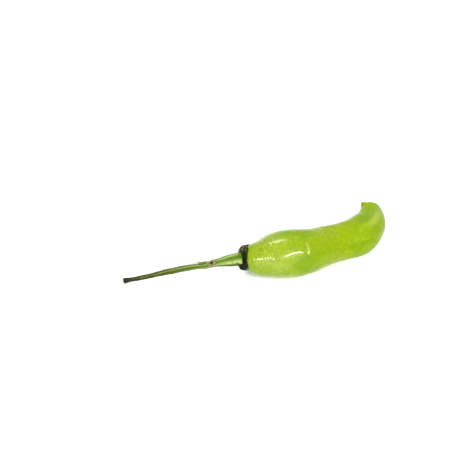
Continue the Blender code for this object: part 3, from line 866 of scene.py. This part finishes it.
# ================================================================ finishes
class Finish:
    """A material being built: one Principled surface, and short calls that add nodes to it."""

    def __init__(self, name, **fixed):
        self.material = bpy.data.materials.new(name)
        self.material.use_nodes = True
        self.tree = self.material.node_tree
        self.surface = self.tree.nodes["Principled BSDF"]
        for socket, value in fixed.items():
            self.surface.inputs[socket.replace("_", " ")].default_value = value

    def add(self, kind, inputs=(), **settings):
        """One node: settings are its properties, inputs its socket values or links."""
        made = self.tree.nodes.new(kind)
        for key, value in settings.items():
            setattr(made, key, value)
        for socket, value in dict(inputs).items():
            if isinstance(value, bpy.types.NodeSocket):
                self.tree.links.new(value, made.inputs[socket])
            else:
                made.inputs[socket].default_value = value
        return made

    def place(self):
        """The point's place in the object."""
        return self.add("ShaderNodeTexCoord").outputs["Object"]

    def along_round(self, along, around):
        """Own UV map: along the piece and round it, stretched by a count of repeats each way."""
        uv = self.add("ShaderNodeUVMap", uv_map="along_round").outputs["UV"]
        scale = {"Vector": uv, "Scale": (along, around, 1.0)}
        return self.add("ShaderNodeMapping", scale).outputs["Vector"]

    def mark(self, name):
        """One of the mesh's own marks."""
        return self.add("ShaderNodeAttribute", attribute_name=name).outputs["Fac"]

    def noise(self, where, size, detail=2.0, roughness=0.5):
        """Noise with lumps of a size in metres, or in repeats of the UV map when size is 1."""
        inputs = {"Vector": where, "Scale": 1.0 / size, "Detail": detail, "Roughness": roughness}
        return self.add("ShaderNodeTexNoise", inputs).outputs["Fac"]

    def between(self, value, low, high, to_low=0.0, to_high=1.0):
        """Stretches a value's range onto another, with a soft start and end."""
        inputs = {"Value": value, "From Min": low, "From Max": high,
                  "To Min": to_low, "To Max": to_high}
        return self.add("ShaderNodeMapRange", inputs,
                        interpolation_type="SMOOTHSTEP").outputs["Result"]

    def mix(self, share, first, second):
        """Blend of two colours; the mix node takes them at its sockets 6 and 7."""
        first, second = (colour if isinstance(colour, bpy.types.NodeSocket) else (*colour, 1.0)
                         for colour in (first, second))
        return self.add("ShaderNodeMix", {0: share, 6: first, 7: second},
                        data_type="RGBA").outputs[2]

    def sum(self, first, second):
        """Sum of two values."""
        return self.add("ShaderNodeMath", {0: first, 1: second}, operation="ADD").outputs[0]

    def times(self, first, second):
        """Product of two values."""
        return self.add("ShaderNodeMath", {0: first, 1: second}, operation="MULTIPLY").outputs[0]

    def drive(self, socket, value):
        """Joins a value to one of the surface's sockets."""
        self.tree.links.new(value, self.surface.inputs[socket])

    def finish(self, colour, roughness, bumps):
        """Joins colour, roughness and a chain of bumps, each a height and its depth in metres."""
        self.drive("Base Color", colour)
        self.drive("Roughness", roughness)
        normal = None
        for height, depth in bumps:
            inputs = {"Height": height, "Distance": depth, "Strength": 1.0}
            if normal is not None:
                inputs["Normal"] = normal
            normal = self.add("ShaderNodeBump", inputs).outputs["Normal"]
        self.drive("Normal", normal)
        return self.material


def pod_skin():
    """Waxy yellow-green skin: patches of tone at three sizes, then what the marks say.

    Ridges are painted lighter as highlight and hollows darker as shade, set patches paint
    highlights, reflections and shade, ripple crests are painted paler, faint veins run lengthwise,
    and pale specks, partly painted glints, show on the shoulder. Brown dots ring the neck and brown
    covers the nub. Wax is a coat.
    """
    skin = Finish("pod_skin", Subsurface_Weight=0.12, Subsurface_Radius=(0.6, 1.0, 0.12),
                  Subsurface_Scale=2.0 * MM, IOR=1.31, Specular_Tint=(1.0, 1.0, 0.20, 1.0),
                  Specular_IOR_Level=0.3, Coat_IOR=1.45, Coat_Roughness=0.16)
    place = skin.place()
    patches = skin.noise(place, 8.0 * MM, 3.0)
    tone = skin.mix(skin.between(patches, 0.32, 0.56), POD_DEEP, POD_GREEN)
    clouds = skin.noise(place, 2.4 * MM, 3.0, 0.6)
    tone = skin.mix(skin.between(clouds, 0.40, 0.62, 0.0, 0.36), tone, POD_LIGHT)
    mottle = skin.noise(place, 0.9 * MM, 2.0)
    tone = skin.mix(skin.between(mottle, 0.40, 0.62, 0.26, 0.0), tone, POD_DEEP)
    # Painted highlights, painted reflections and painted shade of the patches, broken up by the
    # mottle.
    painted_light_and_tone = skin.sum(skin.mark("tone"), skin.between(mottle, 0.3, 0.7, -0.16, 0.16))
    # Painted highlight: the raised parts of the skin lighter.
    tone = skin.mix(skin.between(skin.mark("painted_relief_light"), 0.5, 1.1, 0.0, 0.3), tone, POD_LIGHT)
    # Painted shade: the hollows darker.
    tone = skin.mix(skin.between(skin.mark("painted_hollow_shade"), 0.1, 0.8, 0.0, 0.45), tone, POD_DEEP)
    tone = skin.mix(skin.between(painted_light_and_tone, 0.5, 0.0, 0.0, 0.9), tone, POD_DEEP)
    tone = skin.mix(skin.between(painted_light_and_tone, 0.5, 1.0, 0.0, 0.62), tone, POD_PALE_AND_SHEEN)
    veins = skin.noise(skin.along_round(3.0, 26.0), 1.0, 3.0)
    tone = skin.mix(skin.between(veins, 0.5, 0.72, 0.0, 0.2), tone, POD_LIGHT)
    # Pale specks where the highlights fall: partly the skin's own specks, partly painted glints.
    flecks = skin.noise(skin.along_round(115.0, 62.0), 1.0, 1.0)
    shown = skin.times(skin.between(flecks, 0.50, 0.62),
                       skin.between(skin.mark("specks"), 0.0, 1.0, 0.10, 0.70))
    tone = skin.mix(shown, tone, POD_PALE_AND_SHEEN)
    rim = skin.sum(skin.mark("neck"), skin.noise(place, 0.45 * MM))
    tone = skin.mix(skin.between(rim, 1.10, 1.26, 0.0, 0.9), tone, CALYX_BROWN)
    tone = skin.mix(skin.between(skin.mark("tip"), 0.25, 0.95, 0.0, 0.8), tone, NUB_BROWN)
    sheen = skin.sum(skin.between(skin.noise(place, 3.0 * MM, 3.0), 0.3, 0.7, 0.13, 0.21),
                     skin.between(skin.mark("along"), 0.38, 0.54, 0.0, 0.20))
    skin.drive("Coat Weight", skin.mark("waxy"))
    waves = skin.noise(place, 1.5 * MM, 2.0)
    grain = skin.noise(place, 0.30 * MM, 2.0)
    wrinkles = skin.times(skin.noise(skin.along_round(60.0, 14.0), 1.0, 2.0),
                          skin.between(skin.mark("crinkled"), 0.0, 0.8, 0.2, 1.0))
    pores = skin.times(skin.noise(skin.along_round(130.0, 60.0), 1.0, 2.0),
                       skin.between(skin.mark("specks"), 0.0, 1.0, 0.1, 1.0))
    return skin.finish(tone, sheen, ((waves, 0.06 * MM), (wrinkles, 0.09 * MM),
                                     (pores, 0.075 * MM), (grain, 0.006 * MM)))


def stem_skin():
    """Ribbed green stalk: ribs painted paler as a highlight, duller and browner towards the cut, a
    pink-brown scar.

    A stripe beside the calyx is painted paler as a highlight and one side darker as painted shade,
    and the cut end is brown all over.
    """
    skin = Finish("stem_skin", IOR=1.30, Specular_IOR_Level=0.3,
                  Specular_Tint=(1.0, 1.0, 0.45, 1.0))
    place = skin.place()
    age = skin.mark("age")
    fibres = skin.noise(skin.along_round(5.0, 30.0), 1.0, 3.0)
    blotches = skin.noise(place, 1.6 * MM, 3.0)
    tone = skin.mix(skin.between(age, 0.12, 0.50), STEM_FRESH, STEM_DULL)
    # Painted highlight: the ribs paler, most near the calyx.
    ridge = skin.times(skin.between(skin.mark("rib"), 0.60, 0.98, 0.0, 0.55),
                       skin.between(age, 0.2, 0.6, 1.0, 0.55))
    tone = skin.mix(ridge, tone, STEM_PALE_AND_SHEEN)
    # Painted highlight: the stripe beside the calyx paler.
    tone = skin.mix(skin.times(skin.mark("painted_sheen_band"), 0.62), tone, STEM_PALE_AND_SHEEN)
    tone = skin.mix(skin.between(fibres, 0.52, 0.72, 0.0, 0.25), tone, STEM_PALE_AND_SHEEN)
    tone = skin.mix(skin.between(blotches, 0.50, 0.70, 0.0, 0.45), tone, STEM_DULL)
    # Painted shade: the lower flank darker.
    tone = skin.mix(skin.times(skin.mark("painted_shade_flank"), 0.9), tone, STEM_PAINTED_SHADE)
    drying = skin.times(skin.between(age, 0.42, 0.88),
                        skin.between(blotches, 0.3, 0.7, 0.45, 1.0))
    tone = skin.mix(drying, tone, BARK_BROWN)
    crust = skin.noise(place, 0.7 * MM, 3.0)
    scar = skin.mix(skin.between(crust, 0.42, 0.60), SCAR_OLIVE, SCAR_PINK)
    tone = skin.mix(skin.times(skin.mark("scar"), 0.9), tone, scar)
    cracks = skin.times(skin.mark("scar"), skin.between(crust, 0.36, 0.48, 0.9, 0.0))
    tone = skin.mix(cracks, tone, BARK_BROWN)
    tone = skin.mix(skin.between(skin.mark("pit"), 0.3, 0.9), tone, BARK_BROWN)
    tone = skin.mix(skin.times(skin.mark("cut"), 0.9), tone, BARK_BROWN)
    rough = skin.between(age, 0.1, 0.9, 0.36, 0.62)
    grain = skin.noise(place, 0.22 * MM, 2.0)
    return skin.finish(tone, rough, ((fibres, 0.10 * MM), (grain, 0.02 * MM)))


def shoot_skin():
    """Dried side shoot: dull green at the knot, bleached grey towards its tip."""
    skin = Finish("shoot_skin", IOR=1.42)
    place = skin.place()
    age = skin.mark("age")
    fibres = skin.noise(skin.along_round(3.0, 12.0), 1.0, 3.0)
    tone = skin.mix(skin.between(fibres, 0.4, 0.7), STEM_DULL, STEM_FRESH)
    tone = skin.mix(skin.between(skin.mark("ridge"), 0.52, 0.62, 0.0, 0.4), tone, STEM_PALE_AND_SHEEN)
    tone = skin.mix(skin.between(age, 0.62, 0.86), tone, DRY_GREY)
    rough = skin.between(age, 0.0, 1.0, 0.5, 0.75)
    grain = skin.noise(place, 0.2 * MM, 2.0)
    return skin.finish(tone, rough, ((fibres, 0.08 * MM), (grain, 0.03 * MM)))


def calyx_skin():
    """Dark green cap painted nearly black as shade: ragged brown margin, flecked knob, and the
    stem's green at its foot, with its flutes and a stripe by the stem painted paler as highlight.
    """
    skin = Finish("calyx_skin", IOR=1.15, Specular_IOR_Level=0.2)
    place = skin.place()
    patches = skin.noise(place, 1.0 * MM, 3.0)
    # Painted shade: the cap's dark green taken nearly to black.
    tone = skin.mix(skin.between(patches, 0.42, 0.70), CALYX_PAINTED_SHADE, CALYX_GREEN)
    specks = skin.noise(place, 0.40 * MM, 2.0)
    dry = skin.times(skin.mark("margin"), skin.between(specks, 0.46, 0.62))
    tone = skin.mix(dry, tone, CALYX_BROWN)
    knob = skin.times(skin.mark("knob"), skin.between(specks, 0.50, 0.62, 0.0, 0.8))
    tone = skin.mix(knob, tone, CALYX_FLECK)
    # Painted highlights on the stem's foot: paler flutes and the stripe beside the calyx.
    stalk = skin.mix(skin.between(skin.mark("flute"), 0.60, 0.98, 0.0, 0.55), STEM_FRESH, STEM_PALE_AND_SHEEN)
    stalk = skin.mix(skin.times(skin.mark("painted_sheen_band"), 0.62), stalk, STEM_PALE_AND_SHEEN)
    tone = skin.mix(skin.between(skin.mark("green"), 0.25, 0.75), tone, stalk)
    rough = skin.between(patches, 0.3, 0.7, 0.30, 0.55)
    return skin.finish(tone, rough, ((patches, 0.10 * MM), (specks, 0.06 * MM)))


def floor_paper():
    """Matt white sweep with a trace of tooth."""
    paper = Finish("floor_paper", IOR=1.3)
    place = paper.place()
    tone = paper.mix(paper.noise(place, 0.4), (0.90, 0.90, 0.90), (0.93, 0.93, 0.93))
    rough = paper.between(paper.noise(place, 0.01), 0.3, 0.7, 0.85, 0.95)
    return paper.finish(tone, rough, ((paper.noise(place, 1.0 * MM), 0.01 * MM),))


# ================================================================ pieces
def build_pepper():
    """Pod, calyx, stem and its dried shoot, each in place of its plain solid."""
    pod = make_piece("pod", POD, pod_skin())
    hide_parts("fruit")

    cap = make_piece("calyx_cap", calyx_grid(CALYX_AROUND), calyx_skin())
    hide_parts("calyx")

    stalk = make_piece("stalk", stem_grid(STEM_ROWS, STEM_AROUND), stem_skin())
    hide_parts("stem")

    make_piece("dried_shoot", shoot_grid(SHOOT_ROWS, SHOOT_AROUND), shoot_skin())


# ================================================================ studio
def aim(thing, target):
    """Turns a camera or a lamp, which look down their own -Z, at a point."""
    line = thing.location - target
    thing.rotation_mode = "QUATERNION"
    thing.rotation_quaternion = line.to_track_quat("Z", "Y")


def softbox(name, target, azimuth, elevation, distance, size, strength):
    """A rectangular area lamp: azimuth 0 is on the near side, elevation up from the floor."""
    lamp = bpy.data.lights.new(name, "AREA")
    lamp.shape = "RECTANGLE"
    lamp.size, lamp.size_y = size
    lamp.energy = strength
    box = bpy.data.objects.new(name, lamp)
    bpy.context.scene.collection.objects.link(box)
    turn, rise = math.radians(azimuth), math.radians(elevation)
    flat = math.cos(rise) * distance
    box.location = target + Vector((math.sin(turn) * flat, -math.cos(turn) * flat,
                                       math.sin(rise) * distance))
    aim(box, target)


def build_studio():
    """White floor, pale surroundings, the softboxes and the camera."""
    low, high = cad_box
    middle = Vector((0.5 * (low[0] + high[0]), 0.5 * (low[1] + high[1]), low[2]))
    corners = [(x * FLOOR_SIDE, y * FLOOR_SIDE, low[2] - FLOOR_GAP)
               for x, y in ((-1, -1), (1, -1), (1, 1), (-1, 1))]
    mesh = bpy.data.meshes.new("floor")
    mesh.from_pydata(corners, [], [(0, 1, 2, 3)])
    floor = bpy.data.objects.new("floor", mesh)
    bpy.context.scene.collection.objects.link(floor)
    mesh.materials.append(floor_paper())

    world = bpy.data.worlds.new("pale_surroundings")
    world.use_nodes = True
    sky = world.node_tree.nodes["Background"]
    sky.inputs["Color"].default_value = (1.0, 1.0, 1.0, 1.0)
    sky.inputs["Strength"].default_value = SKY_STRENGTH
    bpy.context.scene.world = world

    for name, settings in LAMPS.items():
        softbox(name, middle, *settings)

    lens = bpy.data.cameras.new("camera")
    camera = bpy.data.objects.new("camera", lens)
    bpy.context.scene.collection.objects.link(camera)
    lens.sensor_width = SENSOR
    lens.lens = SENSOR * CAMERA_DISTANCE / VIEW_WIDTH
    lens.clip_start = 0.01
    rise = math.radians(CAMERA_ELEVATION)
    picture_up = Vector((0.0, math.sin(rise), math.cos(rise)))
    seat = Vector(onto_frame(SEAT))
    target = seat + Vector((LOOK_ASIDE, 0.0, 0.0)) + LOOK_UP * picture_up
    camera.location = target + CAMERA_DISTANCE * Vector((0.0, -math.cos(rise), math.sin(rise)))
    aim(camera, target)
    bpy.context.scene.camera = camera
    bpy.context.scene.view_settings.view_transform = "Standard"


# ================================================================ the whole scene
# The pod's plain rings take the frame's own pod's length, and its place in plan.
*POD, (own_low, own_high) = pod_grid(POD_ROWS, POD_AROUND)
low, high = np.array(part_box("fruit"))
SCALE = (high[0] - low[0]) / (own_high[0] - own_low[0])
SHIFT = 0.5 * (low + high - SCALE * (own_low + own_high))
SHIFT[2] = low[2]

build_pepper()
build_studio()
